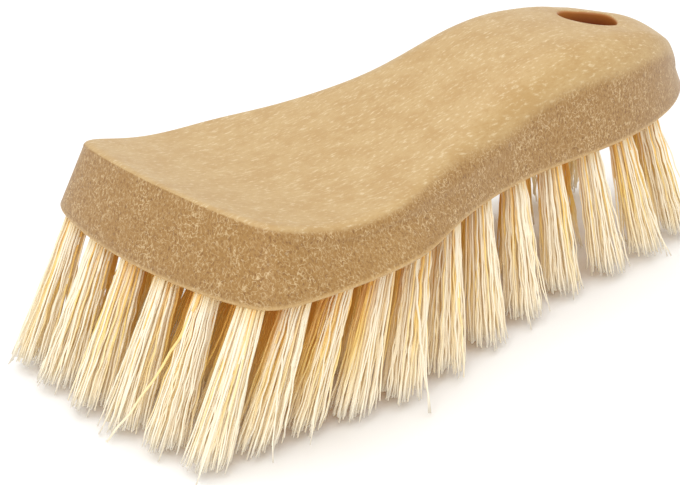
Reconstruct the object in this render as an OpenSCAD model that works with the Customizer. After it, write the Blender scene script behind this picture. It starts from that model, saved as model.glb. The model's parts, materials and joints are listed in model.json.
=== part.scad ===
// Hand brush for wheels and tyres: a moulded block with a hanging hole,
// drilled on its underside for staple-set bristle tufts.
// Millimetres. The toe faces -Y and +Z is up. The bristle tips stand on z = 0, and the
// origin is the middle of the whole brush's footprint.

/* [Block] */
// Length of the block from toe to heel
block_l = 152; // [144:1:160]
// Width across the squared toe
toe_w = 70; // [66:1:74]
// Width at the waist
waist_w = 42; // [40:1:46]
// Width of the rounded heel
heel_w = 43; // [40:1:48]
// How far the toe's walls lean in from bottom to top
toe_draft = 6.4; // [5:0.1:7]
// How far the grip's walls lean in from bottom to top
grip_draft = 2.6; // [1:0.1:3]

/* [Block height] */
// Height of the ridge along the front of the toe
toe_h = 18.1; // [17:0.1:20]
// Lowest height of the side edges, in the thumb dip
dip_h = 9.8; // [9.6:0.1:12]
// Highest height of the side edges, under the palm
palm_h = 20.4; // [19:0.1:22]
// Height of the heel's edge
heel_h = 5.5; // [5:0.1:7]
// How far the palm swells above its side edges
palm_crown = 1.8; // [0.5:0.1:3]
// Rounding of the toe's ridge
ridge_r = 1.5; // [1.2:0.1:2.5]
// Rounding along the grip's top edges
grip_r = 8.6; // [6:0.1:9]
// Rounding over the heel
heel_r = 3; // [2:0.1:3.5]

/* [Hanging hole] */
// Diameter of the hanging hole
hang_d = 12.7; // [10:0.1:14]
// Distance from the hanging hole's axis to the heel
hang_back = 28.5; // [27:0.5:30]

/* [Bristles] */
// Trim: how far the bristles stand out of the block
trim_l = 28.6; // [25:0.2:35]
// Diameter of a tuft at its root
tuft_d = 5; // [4.6:0.1:5.2]
// Diameter of a tuft at its tip
tip_d = 8.6; // [7:0.1:9]
// Radial room between a tuft and its drilled hole
hole_gap = 0.1; // [0.05:0.05:0.15]
// Depth of the drilled holes
hole_depth = 7; // [6:0.1:7.2]
// Distance between rows along the block
row_pitch = 11.4; // [11.3:0.05:11.5]
// Widest distance between tufts across the block
column_pitch = 11.4; // [11.2:0.1:11.8]
// Least distance from a side tuft's centre to the block's edge
edge_margin = 6; // [5.5:0.1:6.5]
// Forward lean of the front rows, in degrees
front_lean = 24; // [20:1:26]
// Backward lean of the last row, in degrees
heel_lean = 12; // [5:1:15]
// Outward lean of the side columns at the toe, in degrees
toe_splay = 2; // [0:1:5]
// Outward lean of the side columns at the waist, in degrees
waist_splay = 18; // [10:1:20]
// Outward lean of the side columns at the heel, in degrees
heel_splay = 11; // [5:1:14]

/* [Staples] */
// Thickness of the staple wire
wire_t = 0.5; // [0.4:0.1:0.6]
// Width of the staple wire
wire_w = 1.4; // [1:0.1:1.6]
// Length of the staple's legs
leg_l = 2; // [1.5:0.1:2.5]

/* [Hidden] */
$fn = 48;
RING = 104;                       // points around the block's outline
FILLET_STEPS = 4;                 // rings over the rounded top edge
TOP_STEPS = 4;                    // rings from the rounded edge to the spine
SPINE_STOP = 0.94;                // where the last ring ends, as a share of the way in
LIP = 0.7;                        // bevel around the bottom edge
PLUS = 1;                         // overshoot for clean cuts
ROWS = 13;
BOW_ROWS = 4;                     // toe rows that follow the bowed front edge
FRONT_BOW = 2.2;                  // how far the front row's ends sit behind its middle
FIRST_ROW = 5.4;                  // front row's middle behind the toe's front edge
HANG_CLEAR = 2;                   // least wall between the hanging hole and a tuft hole
WALL = 1.2;                       // least wall between a tuft hole's end and the block's side

s = block_l / 152;                // lengthwise scale of the outline's stations
toe_x = toe_w / 2;
waist_x = waist_w / 2;
heel_x = heel_w / 2;

// Right half of the outline's control polygon, from the toe's middle to the heel's middle.
outline_half = [
    [0, -0.5 * s], [0.43 * toe_x, 0.5 * s], [0.86 * toe_x, 4 * s],
    [0.97 * toe_x, 8.5 * s], [1.01 * toe_x, 23.5 * s], [toe_x, 42 * s],
    [(2 * toe_x + waist_x) / 3, 52 * s], [(toe_x + 2 * waist_x) / 3 - 0.7, 65 * s],
    [waist_x, 83 * s], [waist_x, 97.5 * s], [heel_x, 115.5 * s],
    [0.75 * heel_x, 136 * s], [0.35 * heel_x, 148.5 * s], [0, 153.5 * s]
];
half_n = len(outline_half);
outline_poly = concat(outline_half,
    [for (i = [half_n - 2 : -1 : 1]) [-outline_half[i].x, outline_half[i].y]]);

// Uniform cubic B-spline weights, and the blend of four neighbours in a list.
function weights(u) = [
    pow(1 - u, 3) / 6, (3 * pow(u, 3) - 6 * u * u + 4) / 6,
    (-3 * pow(u, 3) + 3 * u * u + 3 * u + 1) / 6, pow(u, 3) / 6
];
function closed_spline(list, t) =
    let (n = len(list), k = floor(t), w = weights(t - k))
    w[0] * list[(k + n - 1) % n] + w[1] * list[k % n]
    + w[2] * list[(k + 1) % n] + w[3] * list[(k + 2) % n];
function open_spline(list, t) =
    let (k = min(floor(t), len(list) - 4), w = weights(t - k))
    w[0] * list[k] + w[1] * list[k + 1] + w[2] * list[k + 2] + w[3] * list[k + 3];
function smooth(lo, hi, v) = let (t = max(0, min(1, (v - lo) / (hi - lo)))) t * t * (3 - 2 * t);

// Edge heights and crown at stations one eighth of the block apart, one beyond each end.
edge_stations = [
    toe_h + 3.1, toe_h + 1.1, dip_h + 0.7, dip_h - 0.5, dip_h + 1, palm_h - 5.7,
    palm_h + 0.5, palm_h, palm_h - 3.6, heel_h - 1.5, heel_h - 5.5
];
crown_stations = palm_crown * [0, 0, 0, 0.15, 0.8, 1, 1.1, 1, 0.9, 0.5, 0.5];
function along(stations, y) = open_spline(stations, 8 * max(0, min(block_l, y)) / block_l);
function edge_h(y) = along(edge_stations, y);
function crown_h(y) = along(crown_stations, y);
function draft(y) = toe_draft + (grip_draft - toe_draft) * smooth(45, 70, y);
function round_r(y) =
    ridge_r + (grip_r - ridge_r) * smooth(38, 80, y) + (heel_r - grip_r) * smooth(112, 146, y);

outline = [for (i = [0 : RING - 1]) closed_spline(outline_poly, i * len(outline_poly) / RING)];
SPINE = [34, block_l - 26];       // the rings close in on this stretch of the centre line

// Half the block's width at a distance y behind the toe.
half_w_list = [for (i = [0 : RING / 2]) [outline[i].y, outline[i].x]];
function half_w(y) = lookup(y, half_w_list);

// One point of the block's skin: d inwards from the outline point p, at height z.
function spine_y(p) = max(SPINE[0], min(SPINE[1], p.y));
function to_spine(p) = [0, spine_y(p)] - p;
function inwards(p, d, z) = let (q = p + to_spine(p) * d / norm(to_spine(p))) [q.x, q.y, z];
function top_h(p, d) =
    let (e = edge_h(p.y), m = edge_h(spine_y(p)) + crown_h(spine_y(p)),
         f = min(1, d / norm(to_spine(p))))
    e + (m - e) * (1 - pow(1 - f, 2));
function wall_top(p) = edge_h(p.y) - round_r(p.y);
function wall_in(p) = draft(p.y) * wall_top(p) / edge_h(p.y);
function fillet_point(p, a) =
    let (d = wall_in(p) + round_r(p.y) * (1 - cos(a)))
    inwards(p, d, wall_top(p) + (top_h(p, d) - wall_top(p)) * sin(a));
function top_point(p, f) =
    let (d0 = wall_in(p) + round_r(p.y), d = d0 + (SPINE_STOP * norm(to_spine(p)) - d0) * f)
    inwards(p, d, top_h(p, d));
rings = concat(
    [[for (p = outline) inwards(p, LIP, 0)], [for (p = outline) inwards(p, 0, LIP)],
     [for (p = outline) inwards(p, wall_in(p), wall_top(p))]],
    [for (k = [1 : FILLET_STEPS]) [for (p = outline) fillet_point(p, 90 * k / FILLET_STEPS)]],
    [for (k = [1 : TOP_STEPS]) [for (p = outline) top_point(p, k / TOP_STEPS)]]
);

// Rows of tufts. Each tuft is [x, y, lean in x, lean in y, row, column]; the leans are degrees.
tuft_r = tuft_d / 2;
hole_r = tuft_r + hole_gap;
tip_r = tip_d / 2;
hang_y = block_l - hang_back;
function row_y(r) = (FIRST_ROW + row_pitch * r) * s;
function bow(r) = FRONT_BOW * max(0, 1 - r / BOW_ROWS);
function lean_y(y) = -front_lean * (1 - smooth(40, 110, y)) + heel_lean * smooth(85, 135, y);
function splay(y) =
    toe_splay + (waist_splay - toe_splay) * smooth(25, 62, y)
    - (waist_splay - heel_splay) * smooth(78, 100, y);
function row_reach(r) =
    let (y = row_y(r) + bow(r), end = y - hole_depth * tan(lean_y(y)),
         inset = draft(end) * hole_depth / edge_h(end) + hole_r + WALL,
         back = hole_depth * tan(splay(y)))
    max(0, min(half_w(y) - edge_margin, half_w(end) - inset + back));
function row_count(r) = r == ROWS - 1 ? 1 : ceil(2 * row_reach(r) / column_pitch - 0.4) + 1;
function tuft(r, c) =
    let (n = row_count(r), f = n == 1 ? 0 : 2 * c / (n - 1) - 1,
         x = row_reach(r) * f, y = row_y(r) + bow(r) * f * f)
    [x, y, splay(y) * f, lean_y(y), r + 1, c + 1];
function clear_of_hang(t) = norm([t.x, t.y - hang_y]) > hang_d / 2 + hole_r + HANG_CLEAR;
TUFTS = [for (r = [0 : ROWS - 1]) for (c = [0 : row_count(r) - 1])
    let (t = tuft(r, c)) if (clear_of_hang(t)) t];
function tuft_name(t) = str("tuft_r", t[4], "_c", t[5]);

// The footprint runs from the front row's tips to the heel tuft's tip.
function tip_reach(lean) =
    let (flare = atan((tip_r - tuft_r) * cos(lean) / trim_l))
    tuft_r * cos(lean) + (trim_l + tuft_r * sin(lean)) * tan(lean + flare);
function tip_front(t) = t.y - tip_reach(-t[3]);
front_y = min([for (t = TUFTS) if (t[4] == 1) tip_front(t)]);
heel_y = row_y(ROWS - 1);
back_y = max(max([for (p = outline) p.y]), heel_y + tip_reach(lean_y(heel_y)));
shift_y = -(front_y + back_y) / 2;

// The block's skin: a flat underside, walls, a rounded edge and a top that closes on a ridge.
module block_skin() {
    last = len(rings) - 1;
    half = RING / 2;
    points = [for (ring = rings) for (p = ring) p];
    walls = [for (k = [0 : last - 1]) for (i = [0 : RING - 1])
        let (a = k * RING + i, b = k * RING + (i + 1) % RING)
        each [[a, a + RING, b + RING], [a, b + RING, b]]];
    underside = [[for (i = [0 : RING - 1]) i]];
    first = last * RING;
    crest = [for (i = [1 : half - 2])
        let (a = first + i, b = first + RING - i)
        each [[a, b, b - 1], [a, b - 1, a + 1]]];
    ends = [[first, first + RING - 1, first + 1], [first + half - 1, first + half + 1, first + half]];
    polyhedron(points, concat(walls, underside, crest, ends), convexity = 6);
}

// Puts its children at a tuft's mouth on the underside, with +Z running up into the hole and
// +Y in the upright plane that the tuft leans in.
module at_tuft(t) {
    dx = tan(t[2]);
    dy = tan(t[3]);
    translate([t.x, t.y, trim_l])
        rotate([0, atan(norm([dx, dy])), atan2(-dy, -dx)]) rotate([0, 0, 90]) children();
}

module in_place() {
    translate([0, shift_y, 0]) children();
}

module block() {
    color("burlywood") in_place() difference() {
        translate([0, 0, trim_l]) block_skin();
        for (t = TUFTS)
            at_tuft(t) translate([0, 0, -hole_depth / 2]) cylinder(h = 1.5 * hole_depth, r = hole_r);
        translate([0, hang_y, trim_l - PLUS]) cylinder(h = palm_h + palm_crown + 4, d = hang_d);
    }
}

// A staple: a flat wire bent into a U, driven with its legs towards the hole's end.
module staple() {
    span = tuft_d - 0.3;
    foot = hole_depth - hole_gap - leg_l;
    translate([-span / 2, -wire_w / 2, foot]) cube([span, wire_w, wire_t]);
    for (x = [-span / 2, span / 2 - wire_t])
        translate([x, -wire_w / 2, foot]) cube([wire_t, wire_w, leg_l]);
}

// The room that a staple takes in a tuft's folded root.
module staple_room() {
    room = 0.05;
    foot = hole_depth - hole_gap - leg_l - room;
    inner = tuft_d / 2 - 0.15 - wire_t - room;
    translate([-tuft_d, -wire_w / 2 - room, foot])
        cube([2 * tuft_d, wire_w + 2 * room, wire_t + 2 * room]);
    for (x = [-tuft_d, inner])
        translate([x, -wire_w / 2 - room, foot]) cube([tuft_d - inner, wire_w + 2 * room, leg_l + PLUS]);
}

module staples() {
    color("silver") in_place()
        for (t = TUFTS) at_tuft(t) staple();
}

// A tuft of folded bristles: its root in the hole, flaring to its trimmed tip.
module bristle_tuft(t) {
    tilt = atan(norm([tan(t[2]), tan(t[3])]));
    len_axis = trim_l / cos(tilt);
    over = tip_r * tan(tilt) + PLUS;
    end_r = tuft_r + (tip_r - tuft_r) * (len_axis + over) / len_axis;
    color("wheat") in_place() difference() {
        at_tuft(t) difference() {
            union() {
                cylinder(h = hole_depth - hole_gap, r = tuft_r);
                translate([0, 0, -len_axis - over]) cylinder(h = len_axis + over, r1 = end_r, r2 = tuft_r);
            }
            staple_room();
        }
        translate([-toe_w, -block_l, -trim_l]) cube([2 * toe_w, 3 * block_l, trim_l]);
    }
}

block();
staples();
for (t = TUFTS)
    bristle_tuft(t);
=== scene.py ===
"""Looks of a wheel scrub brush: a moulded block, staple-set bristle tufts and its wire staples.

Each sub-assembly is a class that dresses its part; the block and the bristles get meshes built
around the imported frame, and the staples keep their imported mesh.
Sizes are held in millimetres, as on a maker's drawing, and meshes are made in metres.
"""

import json
import logging
import math
from dataclasses import dataclass, field
from enum import Enum
from typing import Callable, Dict, List, Optional, Sequence, Tuple

import bpy
import numpy as np
from mathutils import Matrix, Vector


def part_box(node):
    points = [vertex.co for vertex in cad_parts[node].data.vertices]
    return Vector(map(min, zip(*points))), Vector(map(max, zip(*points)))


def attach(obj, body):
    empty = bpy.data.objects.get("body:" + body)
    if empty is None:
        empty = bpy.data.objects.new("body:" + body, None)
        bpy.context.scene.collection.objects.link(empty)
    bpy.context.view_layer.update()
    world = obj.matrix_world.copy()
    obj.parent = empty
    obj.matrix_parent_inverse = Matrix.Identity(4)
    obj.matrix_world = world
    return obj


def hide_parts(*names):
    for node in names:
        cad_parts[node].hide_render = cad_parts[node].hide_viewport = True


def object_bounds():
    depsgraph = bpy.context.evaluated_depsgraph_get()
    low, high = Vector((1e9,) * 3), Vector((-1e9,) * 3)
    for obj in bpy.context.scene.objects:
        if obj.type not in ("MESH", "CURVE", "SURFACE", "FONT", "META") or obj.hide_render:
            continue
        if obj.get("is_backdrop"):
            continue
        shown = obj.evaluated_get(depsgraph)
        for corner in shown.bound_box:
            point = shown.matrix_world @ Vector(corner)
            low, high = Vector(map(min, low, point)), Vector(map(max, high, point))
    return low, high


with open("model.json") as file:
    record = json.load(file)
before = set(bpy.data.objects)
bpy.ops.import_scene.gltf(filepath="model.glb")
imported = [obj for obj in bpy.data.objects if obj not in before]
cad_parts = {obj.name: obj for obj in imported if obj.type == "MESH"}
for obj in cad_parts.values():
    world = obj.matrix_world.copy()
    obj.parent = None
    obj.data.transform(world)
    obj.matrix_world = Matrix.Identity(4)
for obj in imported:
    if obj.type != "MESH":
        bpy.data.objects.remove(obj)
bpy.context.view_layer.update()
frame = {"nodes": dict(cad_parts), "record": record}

MM = 0.001
WELD = 4e-6
GOLDEN_ANGLE = 2.399963
FLOOR_GAP = 0.2 * MM
log = logging.getLogger("wheel_brush")


# ---------------------------------------------------------------- small tools


def linear(hex_colour: str) -> Tuple[float, float, float, float]:
    """Turns an sRGB hex colour into linear RGBA.

    Args:
        hex_colour: Six hex digits, with or without a leading hash.

    Returns:
        Linear red, green and blue, and an alpha of 1.
    """
    digits = hex_colour.lstrip("#")
    parts = [int(digits[i:i + 2], 16) / 255 for i in (0, 2, 4)]
    toned = [c / 12.92 if c <= 0.04045 else ((c + 0.055) / 1.055) ** 2.4 for c in parts]
    return (toned[0], toned[1], toned[2], 1.0)


def smooth(low: float, high: float, value: np.ndarray) -> np.ndarray:
    """Eases from 0 at low to 1 at high.

    Args:
        low: Where the easing starts.
        high: Where it ends.
        value: The values to ease.

    Returns:
        The eased values, between 0 and 1.
    """
    t = np.clip((np.asarray(value, float) - low) / (high - low), 0, 1)
    return t * t * (3 - 2 * t)


def pick(obj: bpy.types.Object) -> None:
    """Makes one object the only selected and active one.

    Args:
        obj: The object that the next operator works on.
    """
    bpy.ops.object.select_all(action="DESELECT")
    obj.select_set(True)
    bpy.context.view_layer.objects.active = obj


def apply_modifier(obj: bpy.types.Object, kind: str, **settings: object) -> None:
    """Adds a modifier and applies it at once.

    Args:
        obj: The object to change.
        kind: The modifier's type.
        settings: The modifier's own settings.
    """
    modifier = obj.modifiers.new(kind.title(), kind)
    for name, value in settings.items():
        setattr(modifier, name, value)
    pick(obj)
    bpy.ops.object.modifier_apply(modifier=modifier.name)


def read_points(mesh: bpy.types.Mesh) -> np.ndarray:
    """Reads a mesh's vertices.

    Args:
        mesh: The mesh to read.

    Returns:
        An array of n rows of x, y and z.
    """
    flat = np.empty(len(mesh.vertices) * 3)
    mesh.vertices.foreach_get("co", flat)
    return flat.reshape(-1, 3)


def write_points(mesh: bpy.types.Mesh, points: np.ndarray) -> None:
    """Writes a mesh's vertices.

    Args:
        mesh: The mesh to change.
        points: An array of n rows of x, y and z.
    """
    mesh.vertices.foreach_set("co", np.ascontiguousarray(points, dtype=np.float32).ravel())
    mesh.update()


def wrapped_grid(name: str, around: int, along: int,
                 place: Callable[[np.ndarray, np.ndarray], np.ndarray]) -> bpy.types.Object:
    """Wraps a flat grid primitive into a closed shell.

    Args:
        name: The new object's name.
        around: Cells round the shell, which meet at a seam.
        along: Cells from its first open edge to its last.
        place: Gives metres for arrays of the share round and the share along.

    Returns:
        The shell, with its seam merged, its open edges filled and its faces pointing out.
    """
    bpy.ops.object.select_all(action="DESELECT")
    bpy.ops.mesh.primitive_grid_add(x_subdivisions=around, y_subdivisions=along, size=2)
    shell = bpy.context.active_object
    shell.name = shell.data.name = name
    flat = read_points(shell.data)
    write_points(shell.data, place((flat[:, 0] + 1) / 2, (flat[:, 1] + 1) / 2))
    bpy.ops.object.mode_set(mode="EDIT")
    bpy.ops.mesh.select_all(action="SELECT")
    bpy.ops.mesh.remove_doubles(threshold=WELD)
    bpy.ops.mesh.select_all(action="DESELECT")
    bpy.ops.mesh.select_mode(type="EDGE")
    bpy.ops.mesh.select_non_manifold(extend=False, use_wire=False, use_multi_face=False,
                                     use_non_contiguous=False, use_verts=False)
    bpy.ops.mesh.edge_face_add()
    bpy.ops.mesh.select_all(action="SELECT")
    bpy.ops.mesh.normals_make_consistent(inside=False)
    bpy.ops.object.mode_set(mode="OBJECT")
    return shell


# ------------------------------------------------------------------ materials


class Finish:
    """A material under construction, with one way of adding nodes."""

    def __init__(self, name: str) -> None:
        """Starts a node material.

        Args:
            name: The real material's name.
        """
        self.material = bpy.data.materials.new(name)
        self.material.use_nodes = True
        self.tree = self.material.node_tree
        self.shader = self.tree.nodes["Principled BSDF"]

    def add(self, kind: str, settings: Optional[Dict[str, object]] = None,
            **links: object) -> bpy.types.Node:
        """Adds a node with its settings and links.

        Args:
            kind: The node's type.
            settings: Node properties by name.
            links: Input sockets by name, or i0, i1 and so on by place; each is a value or
                another node's output socket.

        Returns:
            The new node.
        """
        node = self.tree.nodes.new(kind)
        for key, value in (settings or {}).items():
            setattr(node, key, value)
        for key, value in links.items():
            by_place = key[0] == "i" and key[1:].isdigit()
            socket = node.inputs[int(key[1:])] if by_place else node.inputs[key.replace("_", " ")]
            if isinstance(value, bpy.types.NodeSocket):
                self.tree.links.new(value, socket)
            else:
                socket.default_value = value
        return node

    def ramp(self, source: bpy.types.NodeSocket,
             stops: Sequence[Tuple[float, str]]) -> bpy.types.NodeSocket:
        """Maps a value onto a run of colours.

        Args:
            source: The value's socket.
            stops: Places from 0 to 1 and their hex colours.

        Returns:
            The colour's socket.
        """
        node = self.add("ShaderNodeValToRGB", None, Fac=source)
        scale = node.color_ramp
        while len(scale.elements) < len(stops):
            scale.elements.new(0.5)
        for element, (place, colour) in zip(scale.elements, stops):
            element.position = place
            element.color = linear(colour)
        return node.outputs["Color"]

    def mix(self, share: object, first: object, second: object) -> bpy.types.NodeSocket:
        """Mixes two colours.

        Args:
            share: How much of the second, as a number or a socket.
            first: A colour or its socket.
            second: A colour or its socket.

        Returns:
            The mixed colour's socket.
        """
        node = self.add("ShaderNodeMix", {"data_type": "RGBA"}, i0=share, i6=first, i7=second)
        return node.outputs[2]

    def span(self, source: bpy.types.NodeSocket, low: float, high: float,
             start: float = 0.0, end: float = 1.0) -> bpy.types.NodeSocket:
        """Maps a value's span onto another, and holds it there beyond the ends.

        Args:
            source: The value's socket.
            low: The value that gives start.
            high: The value that gives end.
            start: What low becomes.
            end: What high becomes.

        Returns:
            The mapped value's socket.
        """
        node = self.add("ShaderNodeMapRange", {"interpolation_type": "SMOOTHSTEP"}, i0=source,
                        i1=low, i2=high, i3=start, i4=end)
        return node.outputs[0]

    def sum(self, operation: str, first: object, second: object) -> bpy.types.NodeSocket:
        """Does one sum on two values.

        Args:
            operation: The Math node's operation.
            first: A number or a socket.
            second: A number or a socket.

        Returns:
            The result's socket.
        """
        return self.add("ShaderNodeMath", {"operation": operation}, i0=first,
                        i1=second).outputs[0]

    def grain(self, size_mm: Tuple[float, float, float], detail: float = 3.0,
              roughness: float = 0.55, origin: Tuple[float, float, float] = (0, 0, 0)
              ) -> bpy.types.NodeSocket:
        """Adds a noise whose lumps have a real size along each axis.

        Args:
            size_mm: The lumps' size along X, Y and Z.
            detail: Octaves of finer noise.
            roughness: How strong the finer noise is.
            origin: Where the pattern starts, in lumps.

        Returns:
            The noise's value socket.
        """
        place = self.add("ShaderNodeTexCoord").outputs["Object"]
        scale = tuple(1 / (s * MM) for s in size_mm)
        mapped = self.add("ShaderNodeMapping", None, Vector=place, Scale=scale, Location=origin)
        return self.add("ShaderNodeTexNoise", None, Vector=mapped.outputs[0], Scale=1.0,
                        Detail=detail, Roughness=roughness).outputs[0]

    def relief(self, height: bpy.types.NodeSocket, depth_mm: float, strength: float = 1.0) -> None:
        """Links a height to the shader's normal.

        Args:
            height: The height's socket, from 0 to 1.
            depth_mm: The real depth of that relief.
            strength: How much of it shows.
        """
        bump = self.add("ShaderNodeBump", None, Height=height, Strength=strength,
                        Distance=depth_mm * MM)
        self.tree.links.new(bump.outputs[0], self.shader.inputs["Normal"])

    def set(self, **values: object) -> None:
        """Sets the shader's sockets.

        Args:
            values: Numbers, colours or other nodes' sockets, by the shader socket's name with
                underscores for spaces.
        """
        for key, value in values.items():
            socket = self.shader.inputs[key.replace("_", " ")]
            if isinstance(value, bpy.types.NodeSocket):
                self.tree.links.new(value, socket)
            else:
                socket.default_value = value


@dataclass(frozen=True)
class FilledPlastic:
    """Polypropylene filled with wood flour, compression moulded.

    The flour's fibres lie along the flow on top, as short pale flecks on warm tan. On the
    walls they stand end-on, as dense glittering speckle over a deeper brown.
    """

    top: str = "#BF9F6B"
    top_deep: str = "#B38E56"
    fleck: str = "#E0CCA4"
    wall: str = "#9E763D"
    wall_dark: str = "#7A5226"
    wall_speck: str = "#DCC296"
    # Painted highlight: the pale band round the bottom edge.
    rim: str = "#D2AE76"
    # The hanging hole's lining, which darkens with depth as painted shade.
    bore: str = "#BE7830"
    bore_painted_shade: str = "#742C12"
    fleck_mm: Tuple[float, float, float] = (0.45, 1.8, 0.6)
    speck_mm: float = 0.5
    curl_mm: Tuple[float, float, float] = (1.1, 1.1, 1.1)
    cloud_mm: Tuple[float, float, float] = (5, 9, 5)
    patch_mm: Tuple[float, float, float] = (5, 5, 5)
    relief_mm: float = 0.16
    rim_highlight_mm: Tuple[float, float] = (0.5, 1.3)
    bore_edge_mm: Tuple[float, float] = (0.05, 0.35)
    bore_shade_mm: Tuple[float, float] = (1.2, 6.5)
    lean_ends_mm: Tuple[float, float] = (12.0, -12.0)
    lean_most: float = 0.38
    top_from: Tuple[float, float] = (0.14, 0.50)
    roughness: float = 0.43
    ior: float = 1.49

    def make(self, underside: float, bore_at: Vector, bore_top: float,
             bore_r: float) -> bpy.types.Material:
        """Builds the block's material.

        Args:
            underside: Height of the block's flat underside, in metres.
            bore_at: A point on the hanging hole's axis, in metres.
            bore_top: Height of the hanging hole's upper mouth, in metres.
            bore_r: The hanging hole's radius, in metres.

        Returns:
            The finished material.
        """
        f = Finish("wood_filled_polypropylene")
        place = f.add("ShaderNodeSeparateXYZ", None,
                      Vector=f.add("ShaderNodeTexCoord").outputs["Object"])
        facing = f.add("ShaderNodeSeparateXYZ", None,
                       Vector=f.add("ShaderNodeNewGeometry").outputs["Normal"]).outputs[2]
        fibre = f.grain(self.fleck_mm, 5.0, 0.62)
        speck = f.grain((self.speck_mm, self.speck_mm, self.speck_mm * 1.6), 4.0, 0.7, (7, 3, 5))

        # The toe's walls lean back more than the rest, so they count as top from a flatter slope.
        ends = [end * MM for end in self.lean_ends_mm]
        lean = f.span(place.outputs[1], *ends, 0, self.lean_most)
        upward = f.span(f.sum("SUBTRACT", facing, lean), *self.top_from)
        skin = f.mix(upward, self.wall_skin(f, speck), self.top_skin(f, fibre))

        # A thin pale band round the bottom edge: a painted highlight along its rounding.
        lift = f.sum("SUBTRACT", place.outputs[2], underside)
        solid, gone = (height * MM for height in self.rim_highlight_mm)
        skin = f.mix(f.span(lift, gone, solid, 0, 0.62), skin, linear(self.rim))

        # Painted shade: the bore's skin is darker with depth.
        off_x = f.sum("SUBTRACT", place.outputs[0], bore_at.x)
        off_y = f.sum("SUBTRACT", place.outputs[1], bore_at.y)
        reach = f.sum("SQRT", f.sum("ADD", f.sum("MULTIPLY", off_x, off_x),
                                    f.sum("MULTIPLY", off_y, off_y)), 0.0)
        near, far = (bore_r + edge * MM for edge in self.bore_edge_mm)
        inside = f.span(reach, far, near)
        depth = f.sum("SUBTRACT", bore_top, place.outputs[2])
        lit, dark = (shade * MM for shade in self.bore_shade_mm)
        shaded_lining = f.mix(f.span(depth, lit, dark), linear(self.bore), linear(self.bore_painted_shade))
        f.set(Base_Color=f.mix(inside, skin, shaded_lining), Roughness=self.roughness, IOR=self.ior)
        f.relief(f.sum("ADD", f.sum("MULTIPLY", speck, 0.7), f.sum("MULTIPLY", fibre, 0.3)),
                 self.relief_mm, 0.55)
        return f.material

    def top_skin(self, f: Finish, fibre: bpy.types.NodeSocket) -> bpy.types.NodeSocket:
        """Colours the top: cloudy tan with sparse pale fibres along the flow.

        Args:
            f: The finish under construction.
            fibre: The fibres' noise.

        Returns:
            The colour's socket.
        """
        cloud = f.span(f.grain(self.cloud_mm, 4.0, 0.65), 0.36, 0.60, 0.35, 1.0)
        top = f.mix(cloud, linear(self.top_deep), linear(self.top))
        top = f.mix(f.span(fibre, 0.52, 0.72, 0, 0.7), top, linear(self.fleck))
        return f.mix(f.span(fibre, 0.45, 0.32, 0, 0.6), top, linear(self.top_deep))

    def wall_skin(self, f: Finish, speck: bpy.types.NodeSocket) -> bpy.types.NodeSocket:
        """Colours the walls: the same fibres end-on, drawn about twice their real size to show.

        Args:
            f: The finish under construction.
            speck: The speckle's noise.

        Returns:
            The colour's socket.
        """
        patch = f.grain(self.patch_mm, 3.0, 0.6, (2, 9, 1))
        bright = f.sum("MULTIPLY", f.span(speck, 0.52, 0.70), f.span(patch, 0.3, 0.75, 0.45, 1.0))
        wall = f.mix(f.span(speck, 0.48, 0.34, 0, 0.8), linear(self.wall), linear(self.wall_dark))
        wall = f.mix(f.sum("MULTIPLY", bright, 0.8), wall, linear(self.wall_speck))
        curl = f.grain(self.curl_mm, 1.0, 0.5, (4, 1, 8))
        thread = f.span(f.sum("ABSOLUTE", f.sum("SUBTRACT", curl, 0.5), 0.0), 0.035, 0.008)
        thread = f.sum("MULTIPLY", thread, f.span(patch, 0.35, 0.65, 0.15, 0.6))
        return f.mix(thread, wall, linear(self.wall_speck))


@dataclass(frozen=True)
class PlantFibre:
    """Crimped agave fibre, washed and trimmed.

    Outer fibres are cream with a silky gloss, and their roots carry painted shade under the
    block's edge. The inner ones are painted straw to orange, deepest at the root: painted shade
    between the tufts and painted glow for light that has come through the others. A weak
    constant emission stands in for that light as well.
    """

    cream: str = "#F8F0DA"
    # Painted shade on the outer fibres at the root, under the block's edge.
    root: str = "#EFD89E"
    straw: str = "#F7DA82"
    amber: str = "#F1B850"
    # Painted shade and painted glow at the inner fibres' root.
    root_shade_and_glow: str = "#E0963C"
    cut_end: str = "#E0DCD0"
    glow: str = "#F2B75E"
    glow_power: float = 0.07
    roughness: float = 0.5
    ior: float = 1.5

    def make(self) -> bpy.types.Material:
        """Builds the bristles' material from the strand attribute: along, depth and chance.

        Returns:
            The finished material.
        """
        f = Finish("agave_fibre")
        strand = f.add("ShaderNodeSeparateXYZ", None, Vector=f.add(
            "ShaderNodeAttribute", {"attribute_name": Strands.ATTRIBUTE}).outputs["Vector"])
        along, depth, chance = (strand.outputs[i] for i in range(3))
        # Outer fibres: cream, with painted shade at the root under the block's edge.
        outer = f.ramp(along, [(0.0, self.root), (0.16, self.cream), (0.9, self.cream),
                               (1.0, self.cut_end)])
        # Inner fibres: painted shade and painted glow, orange at the root through straw to cream.
        inner = f.ramp(along, [(0.0, self.root_shade_and_glow), (0.25, self.amber), (0.62, self.straw),
                               (0.92, self.cream), (1.0, self.cut_end)])
        gold = f.ramp(along, [(0.0, self.amber), (0.5, self.straw), (1.0, self.cream)])
        colour = f.mix(f.span(chance, 0.55, 0.85, 0, 0.9), outer, gold)
        f.set(Base_Color=f.mix(depth, colour, inner), Roughness=self.roughness, IOR=self.ior,
              Emission_Color=linear(self.glow), Emission_Strength=self.glow_power)
        return f.material


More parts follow.
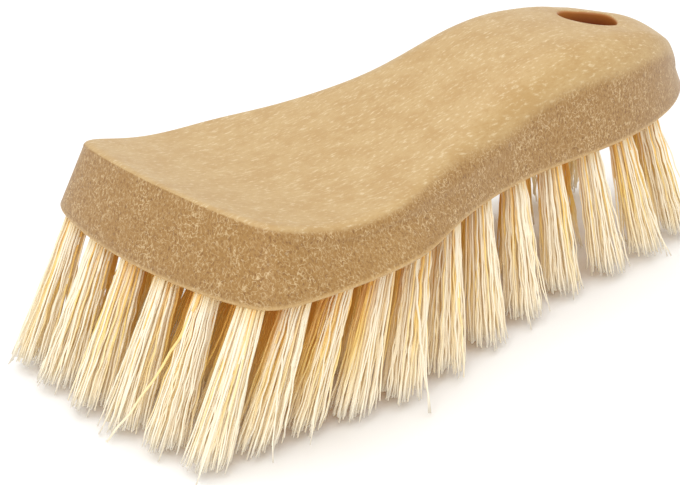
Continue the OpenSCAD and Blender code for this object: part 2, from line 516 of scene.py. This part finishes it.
@dataclass(frozen=True)
class StapleWire:
    """Flat drawn steel wire, bright, with fine draw marks along it."""

    steel: str = "#B9BABB"
    roughness: float = 0.32
    draw_mark_mm: Tuple[float, float, float] = (0.12, 0.12, 3.0)
    draw_mark_depth_mm: float = 0.02

    def make(self) -> bpy.types.Material:
        """Builds the staples' material.

        Returns:
            The finished material.
        """
        f = Finish("drawn_steel_wire")
        f.set(Base_Color=linear(self.steel), Metallic=1.0, Roughness=self.roughness)
        f.relief(f.grain(self.draw_mark_mm, 2.0), self.draw_mark_depth_mm, 0.5)
        return f.material


# ---------------------------------------------------------------------- block


@dataclass
class Block:
    """The moulded block: squared toe, thumb dip, swelling palm, rounded heel, hanging hole."""

    length: float = 152.0
    toe_half: float = 35.0
    waist_half: float = 21.0
    heel_half: float = 21.5
    toe_h: float = 18.1
    dip_h: float = 9.8
    palm_h: float = 20.4
    heel_h: float = 5.5
    crown: float = 1.8
    toe_draft: float = 6.4
    grip_draft: float = 2.6
    ridge_r: float = 3.2
    grip_r: float = 8.6
    heel_r: float = 3.0
    lip: float = 0.7
    spine: Tuple[float, float] = (34.0, 126.0)
    draft_eases: Tuple[float, float] = (45.0, 70.0)
    grip_eases: Tuple[float, float] = (38.0, 80.0)
    heel_eases: Tuple[float, float] = (112.0, 146.0)
    hole_r: float = 2.6
    hole_depth: float = 7.0
    hole_sides: int = 24
    bore_sides: int = 72
    flare_steps: int = 6
    overrun: Tuple[float, float] = (2.2, 1.4)
    mouth_round: float = 0.8
    around: int = 260
    bands: Tuple[int, int, int, int] = (3, 6, 10, 30)
    soft_angle: float = 38.0
    finish: FilledPlastic = field(default_factory=FilledPlastic)
    underside: float = field(init=False)
    outline: np.ndarray = field(init=False)
    shift: float = field(init=False)
    bore: Vector = field(init=False)
    bore_r: float = field(init=False)

    def __post_init__(self) -> None:
        """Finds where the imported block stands, and its hanging hole."""
        low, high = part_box("block")
        self.underside = low[2]
        self.outline = self.outline_points(np.linspace(0, 1, 1041)[:-1])
        self.shift = low[1] / MM - self.outline[:, 1].min()
        mounts = {m["name"]: m for m in frame["record"]["mounts"]}
        self.bore = Vector(mounts["hanging_hole"]["pos_m"])
        self.bore_r = mounts["hanging_hole"]["dims"]["r_mm"] * MM

    def control_polygon(self) -> np.ndarray:
        """Gives the outline's closed control polygon, from the toe's middle round +X.

        Returns:
            Rows of x and y in millimetres behind the toe.
        """
        toe, waist, heel = self.toe_half, self.waist_half, self.heel_half
        half = [(0, -0.5), (0.43 * toe, 0.5), (0.86 * toe, 4), (0.97 * toe, 8.5),
                (1.01 * toe, 23.5), (toe, 42), ((2 * toe + waist) / 3, 52),
                ((toe + 2 * waist) / 3 - 0.7, 65), (waist, 83), (waist, 97.5), (heel, 115.5),
                (0.75 * heel, 136), (0.35 * heel, 148.5), (0, 153.5)]
        return np.array(half + [(-x, y) for x, y in half[-2:0:-1]], float)

    @staticmethod
    def weights(u: np.ndarray) -> Tuple[np.ndarray, ...]:
        """Gives uniform cubic B-spline weights.

        Args:
            u: Places in a span, from 0 to 1.

        Returns:
            The weights of the span's four control points.
        """
        return ((1 - u) ** 3 / 6, (3 * u ** 3 - 6 * u ** 2 + 4) / 6,
                (-3 * u ** 3 + 3 * u ** 2 + 3 * u + 1) / 6, u ** 3 / 6)

    def outline_points(self, share: np.ndarray) -> np.ndarray:
        """Gives points on the block's outline.

        Args:
            share: Shares of the way round, from 0 to 1.

        Returns:
            Rows of x and y in millimetres behind the toe.
        """
        poly = self.control_polygon()
        t = (np.asarray(share) % 1.0) * len(poly)
        k = np.floor(t).astype(int)
        return sum(w[:, None] * poly[(k + j - 1) % len(poly)]
                   for j, w in enumerate(self.weights(t - k)))

    def along(self, stations: Sequence[float], y: np.ndarray) -> np.ndarray:
        """Blends a list of heights, one for each eighth of the block.

        Args:
            stations: Eleven control heights, one beyond each end.
            y: Distances behind the toe.

        Returns:
            The blended heights.
        """
        values = np.asarray(stations, float)
        t = 8 * np.clip(y, 0, self.length) / self.length
        k = np.minimum(np.floor(t).astype(int), len(values) - 4)
        return sum(w * values[k + j] for j, w in enumerate(self.weights(t - k)))

    def edge_height(self, y: np.ndarray) -> np.ndarray:
        """Gives the height of the side edges.

        Args:
            y: Distances behind the toe.

        Returns:
            Heights above the underside.
        """
        toe, dip, palm, heel = self.toe_h, self.dip_h, self.palm_h, self.heel_h
        return self.along([toe + 3.1, toe + 1.1, dip + 0.7, dip - 0.5, dip + 1, palm - 5.7,
                           palm + 0.5, palm, palm - 3.6, heel - 1.5, heel - 5.5], y)

    def crown_height(self, y: np.ndarray) -> np.ndarray:
        """Gives how far the middle swells above the side edges at distances y."""
        return self.crown * self.along([0, 0, 0, 0.15, 0.8, 1, 1.1, 1, 0.9, 0.5, 0.5], y)

    def skin(self, share: np.ndarray, climb: np.ndarray) -> np.ndarray:
        """Places the block's skin.

        Args:
            share: Shares of the way round the outline.
            climb: Shares of the way from the underside's edge to the spine.

        Returns:
            Rows of x, y and z in metres.
        """
        p = self.outline_points(share)
        y = p[:, 1]
        spine_y = np.clip(y, *self.spine)
        way = np.stack([-p[:, 0], spine_y - y], 1)
        reach = np.linalg.norm(way, axis=1)
        edge = self.edge_height(y)
        middle = self.edge_height(spine_y) + self.crown_height(spine_y)
        draft = self.toe_draft + (self.grip_draft - self.toe_draft) * smooth(*self.draft_eases, y)
        rounding = (self.ridge_r + (self.grip_r - self.ridge_r) * smooth(*self.grip_eases, y)
                    + (self.heel_r - self.grip_r) * smooth(*self.heel_eases, y))
        wall_top = edge - rounding
        wall_in = draft * wall_top / edge

        def top(d: np.ndarray) -> np.ndarray:
            """Gives the top's height, d inwards from the outline."""
            return edge + (middle - edge) * (1 - (1 - np.minimum(1, d / reach)) ** 2)

        step = np.rint(climb * sum(self.bands))
        lip_n, wall_n, fillet_n, top_n = self.bands
        a = np.clip(step / lip_n, 0, 1) * math.pi / 2
        w = np.clip((step - lip_n) / wall_n, 0, 1)
        b = np.clip((step - lip_n - wall_n) / fillet_n, 0, 1) * math.pi / 2
        g = np.clip((step - lip_n - wall_n - fillet_n) / top_n, 0, 1)
        d = self.lip * (1 - np.sin(a)) + wall_in * w + rounding * (1 - np.cos(b))
        d = d + (reach - wall_in - rounding) * g
        z = self.lip * (1 - np.cos(a)) + (wall_top - self.lip) * w
        z = np.where(b > 0, wall_top + (top(d) - wall_top) * np.sin(b), z)
        q = p + way * (d / reach)[:, None]
        return np.stack([q[:, 0] * MM, (q[:, 1] + self.shift) * MM,
                         z * MM + self.underside], 1)

    def depth_inside(self, points: np.ndarray) -> np.ndarray:
        """Measures how far points of the underside lie from the block's outline.

        Args:
            points: Rows of x and y in metres.

        Returns:
            Distances in millimetres.
        """
        edge = self.outline[::5] + (0, self.shift)
        gap = np.asarray(points)[:, None, :2] / MM - edge[None]
        return np.sqrt((gap ** 2).sum(-1)).min(1)

    def hanging_hole_cutter(self, skin: bpy.types.Object) -> bpy.types.Object:
        """Builds the hanging hole's cutter, whose ends flare to round the hole's two mouths.

        Args:
            skin: The uncut skin, which sets the height of the upper mouth.

        Returns:
            The cutter.
        """
        rim = self.mouth_round * MM
        turn = np.linspace(0, math.pi / 2, self.flare_steps)
        flare = list(zip(rim * (1 - np.cos(turn)), rim * (1 - np.sin(turn))))

        # Each row is a wider radius, a lift from its mouth, and whether that is the upper mouth.
        wide, past = (rim * share for share in self.overrun)
        rows = [(wide, -past, 0)] + [(r, h, 0) for r, h in reversed(flare)]
        rows += [(r, -h, 1) for r, h in flare] + [(wide, past, 1)]

        def place(share: np.ndarray, climb: np.ndarray) -> np.ndarray:
            """Places the cutter's wall from its lower flare to its upper one.

            Args:
                share: Shares of the way round the hole.
                climb: Shares of the way from the cutter's lower end to its upper one.

            Returns:
                Rows of x, y and z in metres.
            """
            out = []
            for u, v in zip(share, climb):
                more, lift, upper = rows[int(round(v * (len(rows) - 1)))]
                cos, sin = math.cos(2 * math.pi * u), math.sin(2 * math.pi * u)
                level = self.underside
                if upper:
                    start = Vector((self.bore.x + self.bore_r * cos,
                                    self.bore.y + self.bore_r * sin, 1.0))
                    level = skin.ray_cast(start, Vector((0, 0, -1)))[1].z
                r = self.bore_r + more
                out.append((self.bore.x + r * cos, self.bore.y + r * sin, level + lift))
            return np.array(out)

        return wrapped_grid("hanging_hole_cutter", self.bore_sides, len(rows) - 1, place)

    def tuft_hole_cutters(self, tufts: Sequence["Tuft"]) -> bpy.types.Object:
        """Builds one cutter for all the blind tuft holes.

        Args:
            tufts: The tufts, whose roots the holes follow.

        Returns:
            The joined cutter.
        """
        bpy.ops.object.select_all(action="DESELECT")
        drills = []
        for tuft in tufts:
            up = -tuft.axis
            middle = tuft.mouth + up * (self.hole_depth * MM / 4)
            bpy.ops.mesh.primitive_cylinder_add(
                vertices=self.hole_sides, radius=self.hole_r * MM, depth=1.5 * self.hole_depth * MM,
                location=middle, rotation=up.to_track_quat("Z", "Y").to_euler())
            drills.append(bpy.context.active_object)
        pick(drills[0])
        for drill in drills:
            drill.select_set(True)
        bpy.ops.object.join()
        return bpy.context.active_object

    def build(self, tufts: Sequence["Tuft"]) -> bpy.types.Object:
        """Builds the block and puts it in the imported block's place.

        Args:
            tufts: The tufts that it is drilled for.

        Returns:
            The finished block.
        """
        block = wrapped_grid("block_moulding", self.around, sum(self.bands), self.skin)
        cutters = [self.hanging_hole_cutter(block), self.tuft_hole_cutters(tufts)]
        for cutter in cutters:
            apply_modifier(block, "BOOLEAN", object=cutter, operation="DIFFERENCE",
                           solver="EXACT")
            bpy.data.objects.remove(cutter)
        pick(block)
        bpy.ops.object.shade_smooth_by_angle(angle=math.radians(self.soft_angle))
        top = block.ray_cast(Vector((0, self.bore.y - self.bore_r - 2 * MM, 1)),
                             Vector((0, 0, -1)))[1].z
        block.data.materials.clear()
        block.data.materials.append(self.finish.make(self.underside, self.bore, top, self.bore_r))
        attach(block, "root")
        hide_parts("block")
        log.info("%s: %d faces", block.name, len(block.data.polygons))
        return block


# ------------------------------------------------------------------- bristles


@dataclass
class Tuft:
    """Where one tuft stands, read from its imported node."""

    FOOT_BAND = 0.02 * MM
    MOUTH_BAND = 1.2 * MM

    node: str
    mouth: Vector
    tip: Vector
    tip_r: float

    @classmethod
    def of(cls, node: str, underside: float) -> "Tuft":
        """Measures a packed tuft.

        Args:
            node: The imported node's name.
            underside: Height of the block's underside.

        Returns:
            The tuft, with its mouth at the underside and its tip on the ground.
        """
        points = read_points(frame["nodes"][node].data)
        foot = points[points[:, 2] < cls.FOOT_BAND]
        ring = points[np.abs(points[:, 2] - underside) < cls.MOUTH_BAND]
        centre = (foot.min(0) + foot.max(0)) / 2
        mouth = (ring.min(0) + ring.max(0)) / 2
        width = foot[:, 0].max() - foot[:, 0].min()
        return cls(node, Vector(mouth), Vector((centre[0], centre[1], 0.0)), width / 2)

    @property
    def axis(self) -> Vector:
        """The way the bristles point."""
        return (self.tip - self.mouth).normalized()


class Stray(Enum):
    """Fibres that left their tuft's line: node, sideways and forward drift in millimetres."""

    LONG_FRONT = ("tuft_r1_c5", -8.5, -3.5)
    SIDE = ("tuft_r5_c5", 5.0, 4.5)


@dataclass
class Strands:
    """The crimped fibres of every tuft, fewer and coarser than real ones so that they show."""

    ATTRIBUTE = "strand"

    count: int = 100
    sides: int = 4
    segments: int = 11
    fibre_r: float = 0.255
    root_r: float = 2.42
    inside: float = 3.0
    crimp: float = 0.2
    crimp_pitch: float = 7.6
    sway: float = 0.45
    uneven: float = 0.45
    drift: float = 0.5
    loose: Tuple[float, float] = (0.04, 4.0)
    long: Tuple[float, float] = (0.07, 1.6)
    short: Tuple[float, float] = (0.08, 3.0)
    stray_rho: float = 0.9
    rho_jitter: float = 0.04
    turn_jitter: float = 0.35
    tip_fill: float = 0.97
    wave_jitter: float = 0.5
    pitch_jitter: float = 0.12
    sway_pitch: float = 2.9
    sway_turn: float = 1.9
    taper: float = 0.28
    stray_thicker: float = 1.5
    straight: float = 5.0
    inner_shade_band: Tuple[float, float] = (5.5, 10.5)
    seed: int = 20
    finish: PlantFibre = field(default_factory=PlantFibre)

    def fibre(self) -> bpy.types.Object:
        """Builds one straight fibre, cut into short lengths.

        Returns:
            The fibre, of unit radius and length.
        """
        bpy.ops.object.select_all(action="DESELECT")
        bpy.ops.mesh.primitive_cylinder_add(vertices=self.sides, radius=1, depth=1,
                                            end_fill_type="NGON", location=(0, 0, 0.5))
        fibre = bpy.context.active_object
        bpy.ops.object.transform_apply(location=True, rotation=False, scale=False)
        bpy.ops.object.mode_set(mode="EDIT")
        bpy.ops.mesh.select_mode(type="EDGE")
        bpy.ops.mesh.select_all(action="DESELECT")
        bpy.ops.object.mode_set(mode="OBJECT")
        for edge in fibre.data.edges:
            a, b = (fibre.data.vertices[i].co.z for i in edge.vertices)
            edge.select = abs(a - b) > 0.5
        bpy.ops.object.mode_set(mode="EDIT")
        bpy.ops.mesh.subdivide(number_cuts=self.segments - 1)
        bpy.ops.object.mode_set(mode="OBJECT")
        return fibre

    def bundle(self) -> bpy.types.Object:
        """Repeats the fibre into one tuft's worth.

        Returns:
            The fibres, all in the same place.
        """
        bundle = self.fibre()
        bundle.name = "fibre_bundle"
        apply_modifier(bundle, "ARRAY", count=self.count, use_relative_offset=False,
                       use_constant_offset=True, constant_offset_displace=(0, 0, 0))
        pick(bundle)
        bpy.ops.object.shade_smooth()
        return bundle

    def lay(self, tuft: Tuft, unit: np.ndarray, block: Block,
            chance: np.random.Generator) -> Tuple[np.ndarray, np.ndarray]:
        """Lays a bundle's fibres along their tuft.

        Args:
            tuft: The tuft to follow.
            unit: The bundle's vertices, as straight unit fibres one after another.
            block: The block, for how deep inside the brush each fibre stands.
            chance: The tuft's own source of variation.

        Returns:
            The vertices in metres, and the strand attribute: along, depth and chance.
        """
        n = self.count
        per = len(unit) // n
        local = unit.reshape(n, per, 3)
        axis = np.array(tuft.axis)
        side = np.cross(axis, (0.0, 1.0, 0.0))
        side /= np.linalg.norm(side)
        front = np.cross(side, axis)
        stray = [kind.value for kind in Stray if kind.value[0] == tuft.node]

        # Where each fibre stands in the tuft, packed evenly from the middle out.
        k = np.arange(n)
        rho = np.sqrt((k + 0.5) / n) * (1 - self.rho_jitter * chance.random(n))
        theta = k * GOLDEN_ANGLE + self.turn_jitter * chance.standard_normal(n)
        across = np.cos(theta)[:, None] * side + np.sin(theta)[:, None] * front
        r0 = self.root_r * MM
        r1 = tuft.tip_r * self.tip_fill

        # How far each tip strays from its tuft's line.
        drift = chance.standard_normal((n, 2)) * self.drift * MM
        drift[chance.random(n) < self.loose[0]] *= self.loose[1]
        for _, sideways, forward in stray:
            drift[n - 1] = (sideways * MM, forward * MM)
            rho[n - 1] = self.stray_rho
        drift_v = drift[:, :1] * side + drift[:, 1:] * front

        # Each fibre runs until it meets the trim plane, give or take.
        foot = rho[:, None] * r1 * across + drift_v
        end_z = np.abs(chance.standard_normal(n)) * self.uneven * MM
        long = chance.random(n) < self.long[0]
        end_z[long] = -chance.random(long.sum()) * self.long[1] * MM
        short = chance.random(n) < self.short[0]
        end_z[short] += chance.random(short.sum()) * self.short[1] * MM
        mouth = np.array(tuft.mouth)
        run = (mouth[2] + foot[:, 2] - end_z) / -axis[2]
        inside = self.inside * MM
        dist = -inside + (run[:, None] + inside) * local[:, :, 2]
        share = np.clip(dist / run[:, None], 0, 1)

        # The crimp is a short wave across the fibre, over a longer and weaker sway.
        spread = (r0 + (r1 - r0) * share) * rho[:, None]
        free = smooth(0, self.straight * MM, dist)
        phase = 2 * math.pi * chance.random() + self.wave_jitter * chance.standard_normal(n)
        phase2 = 2 * math.pi * chance.random(n)
        turn = math.pi * chance.random() + self.wave_jitter * chance.standard_normal(n)
        pitch = self.crimp_pitch * MM * (1 + self.pitch_jitter * chance.standard_normal(n))
        wave = np.sin(2 * math.pi * dist / pitch[:, None] + phase[:, None])
        slow = self.sway_pitch * pitch
        wave2 = np.sin(2 * math.pi * dist / slow[:, None] + phase2[:, None])
        lean = np.cos(turn)[:, None] * side + np.sin(turn)[:, None] * front
        turn2 = turn + self.sway_turn
        lean2 = np.cos(turn2)[:, None] * side + np.sin(turn2)[:, None] * front
        amp = self.crimp * MM * (0.7 + 0.6 * chance.random(n))[:, None] * free
        amp2 = self.sway * MM * chance.random(n)[:, None] * free * share
        centre = (mouth + dist[..., None] * axis + spread[..., None] * across[:, None]
                  + (share ** 1.6)[..., None] * drift_v[:, None]
                  + (amp * wave)[..., None] * lean[:, None]
                  + (amp2 * wave2)[..., None] * lean2[:, None])

        # Each fibre's section, thinner towards its tip.
        thick = self.fibre_r * MM * (0.8 + 0.4 * chance.random(n))
        if stray:
            thick[n - 1] *= self.stray_thicker
        radius = thick[:, None] * (1 - self.taper * share)
        points = (centre + (radius * local[:, :, 0])[..., None] * side
                  + (radius * local[:, :, 1])[..., None] * front)

        # How deep inside the brush each fibre stands sets how much painted shade and glow its
        # colour gets.
        stand = mouth[None] + (rho * r0)[:, None] * across
        deep = smooth(*self.inner_shade_band, block.depth_inside(stand))
        strand = np.stack([share, np.repeat(deep[:, None], per, 1),
                           np.repeat(chance.random(n)[:, None], per, 1)], -1)
        return points.reshape(-1, 3), strand.reshape(-1, 3)

    def build(self, tufts: Sequence[Tuft], block: Block) -> List[bpy.types.Object]:
        """Builds every tuft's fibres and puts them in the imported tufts' places.

        Args:
            tufts: The tufts to build.
            block: The block they stand in.

        Returns:
            One piece for each tuft.
        """
        bundle = self.bundle()
        unit = read_points(bundle.data)
        material = self.finish.make()
        pieces = []
        for number, tuft in enumerate(tufts):
            mesh = bundle.data.copy()
            piece = bpy.data.objects.new(tuft.node.replace("tuft", "bristles"), mesh)
            mesh.name = piece.name
            bpy.context.scene.collection.objects.link(piece)
            points, strand = self.lay(tuft, unit, block,
                                      np.random.default_rng(self.seed + number))
            write_points(mesh, points)
            layer = mesh.attributes.new(self.ATTRIBUTE, "FLOAT_VECTOR", "POINT")
            layer.data.foreach_set("vector", strand.astype(np.float32).ravel())
            mesh.materials.clear()
            mesh.materials.append(material)
            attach(piece, "root")
            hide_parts(tuft.node)
            pieces.append(piece)
        log.info("%d tufts of %d fibres, %d faces each", len(pieces), self.count,
                 len(bundle.data.polygons))
        bpy.data.objects.remove(bundle)
        return pieces


# -------------------------------------------------------------------- staples


@dataclass
class Staples:
    """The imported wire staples, which keep their meshes and get their finish."""

    node: str = "staples"
    finish: StapleWire = field(default_factory=StapleWire)

    def dress(self) -> None:
        """Puts the wire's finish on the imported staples."""
        staples = frame["nodes"][self.node]
        staples.data.materials.clear()
        staples.data.materials.append(self.finish.make())
        log.info("%s: %d faces", staples.name, len(staples.data.polygons))


# --------------------------------------------------------------------- studio


@dataclass
class Softbox:
    """One large studio lamp."""

    name: str
    place: Tuple[float, float, float]
    size: float
    power: float

    def hang(self, target: Vector) -> None:
        """Hangs the lamp, facing a point.

        Args:
            target: The point that it faces.
        """
        data = bpy.data.lights.new(self.name, "AREA")
        data.shape, data.size, data.energy = "SQUARE", self.size, self.power
        lamp = bpy.data.objects.new(self.name, data)
        bpy.context.scene.collection.objects.link(lamp)
        lamp.location = self.place
        lamp.rotation_euler = (target - lamp.location).to_track_quat("-Z", "Y").to_euler()


@dataclass
class Studio:
    """A pale floor, soft light and the camera."""

    azimuth: float = 48.12
    elevation: float = 25.02
    eye_mm: Tuple[float, float, float] = (306.09, -222.52, 209.02)
    lens: float = 118.71
    floor_half: float = 3.0
    floor_colour: str = "#FAFAF9"
    room: str = "#FFFFFF"
    room_power: float = 0.85
    boxes: Tuple[Softbox, ...] = (
        Softbox("overhead_box", (-0.10, 0.05, 0.95), 0.9, 3.5),
        Softbox("front_box", (0.45, -0.55, 0.65), 0.5, 2.5),
    )

    def set_floor(self) -> None:
        """Lays the floor under the lowest bristle."""
        bpy.ops.object.select_all(action="DESELECT")
        bpy.ops.mesh.primitive_plane_add(size=2 * self.floor_half)
        floor = bpy.context.active_object
        floor.name = "floor"
        bpy.ops.object.mode_set(mode="EDIT")
        bpy.ops.transform.translate(value=(0, 0, float(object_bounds()[0][2]) - FLOOR_GAP))
        bpy.ops.object.mode_set(mode="OBJECT")
        f = Finish("pale_paper")
        f.set(Base_Color=linear(self.floor_colour), Roughness=0.9)
        floor.data.materials.append(f.material)
        floor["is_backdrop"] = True

    def set_light(self) -> None:
        """Sets the room's light, hangs the softboxes and shows colours as they are."""
        world = bpy.data.worlds.new("studio_room")
        world.use_nodes = True
        world.node_tree.nodes["Background"].inputs[0].default_value = linear(self.room)
        world.node_tree.nodes["Background"].inputs[1].default_value = self.room_power
        bpy.context.scene.world = world
        bpy.context.scene.view_settings.view_transform = "Standard"
        for box in self.boxes:
            box.hang(Vector((0, 0, 0.03)))

    def set_camera(self, shift: float) -> None:
        """Places the camera.

        Args:
            shift: How far the block's toe stands behind the frame's origin, in millimetres.
        """
        a, e = math.radians(self.azimuth), math.radians(self.elevation)
        right = Vector((math.cos(a), math.sin(a), 0))
        back = Vector((math.sin(a) * math.cos(e), -math.cos(a) * math.cos(e), math.sin(e)))
        up = back.cross(right)
        data = bpy.data.cameras.new("camera")
        data.lens, data.sensor_width, data.clip_start = self.lens, 36.0, 0.01
        camera = bpy.data.objects.new("camera", data)
        bpy.context.scene.collection.objects.link(camera)
        turn = Matrix((right, up, back)).transposed().to_4x4()
        eye = Vector(self.eye_mm) * MM + Vector((0, shift * MM, 0))
        camera.matrix_world = Matrix.Translation(eye) @ turn
        bpy.context.scene.camera = camera


def main() -> None:
    """Builds the brush and its studio in order."""
    logging.basicConfig(level=logging.INFO, format="%(name)s: %(message)s")
    block = Block()
    names = sorted(n for n in frame["nodes"] if n.startswith("tuft_"))
    tufts = [Tuft.of(name, block.underside) for name in names]
    Strands().build(tufts, block)
    block.build(tufts)
    Staples().dress()
    studio = Studio()
    studio.set_floor()
    studio.set_light()
    studio.set_camera(block.shift)


if __name__ == "__main__":
    main()
